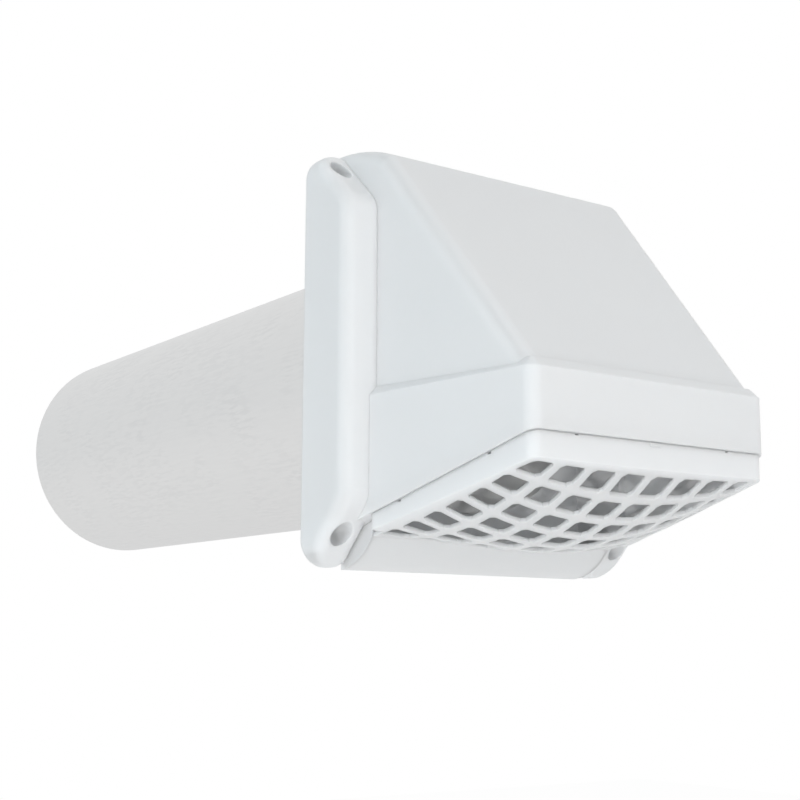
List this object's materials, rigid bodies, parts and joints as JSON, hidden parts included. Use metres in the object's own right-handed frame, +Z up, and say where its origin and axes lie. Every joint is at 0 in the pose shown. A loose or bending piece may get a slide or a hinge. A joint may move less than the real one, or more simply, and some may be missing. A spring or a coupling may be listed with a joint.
{
  "type": "wall vent hood",
  "caption": "White moulded wall vent hood with a sloped front, bulged guard grille over its downward mouth, top-hinged damper flap and an aluminium tail pipe for a round exhaust duct",
  "frame": {"origin": "duct axis on the wall plane, at the middle of the wall screw pattern", "axes": "+Y into the wall along the tail pipe, -Y the way the hood faces, +Z up, +X to the right of someone facing the wall"},
  "size_m": [0.14, 0.398, 0.1493],
  "materials": {
    "white_plastic": "satin moulded polypropylene",
    "flap_plastic": "satin moulded polypropylene",
    "aluminium_sheet": "mill finish rolled sheet"
  },
  "bodies": {
    "hood": {"hood_body": "white_plastic", "guard": "white_plastic", "tail_pipe": "aluminium_sheet"},
    "damper": {"damper_flap": "flap_plastic"}
  },
  "joints": [
    {"name": "damper_hinge", "type": "hinge", "parent": "hood", "child": "damper", "pos_m": [0, -0.0069, 0.056], "axis": [-1, 0, 0], "range_deg": [0, 45]}
  ]
}
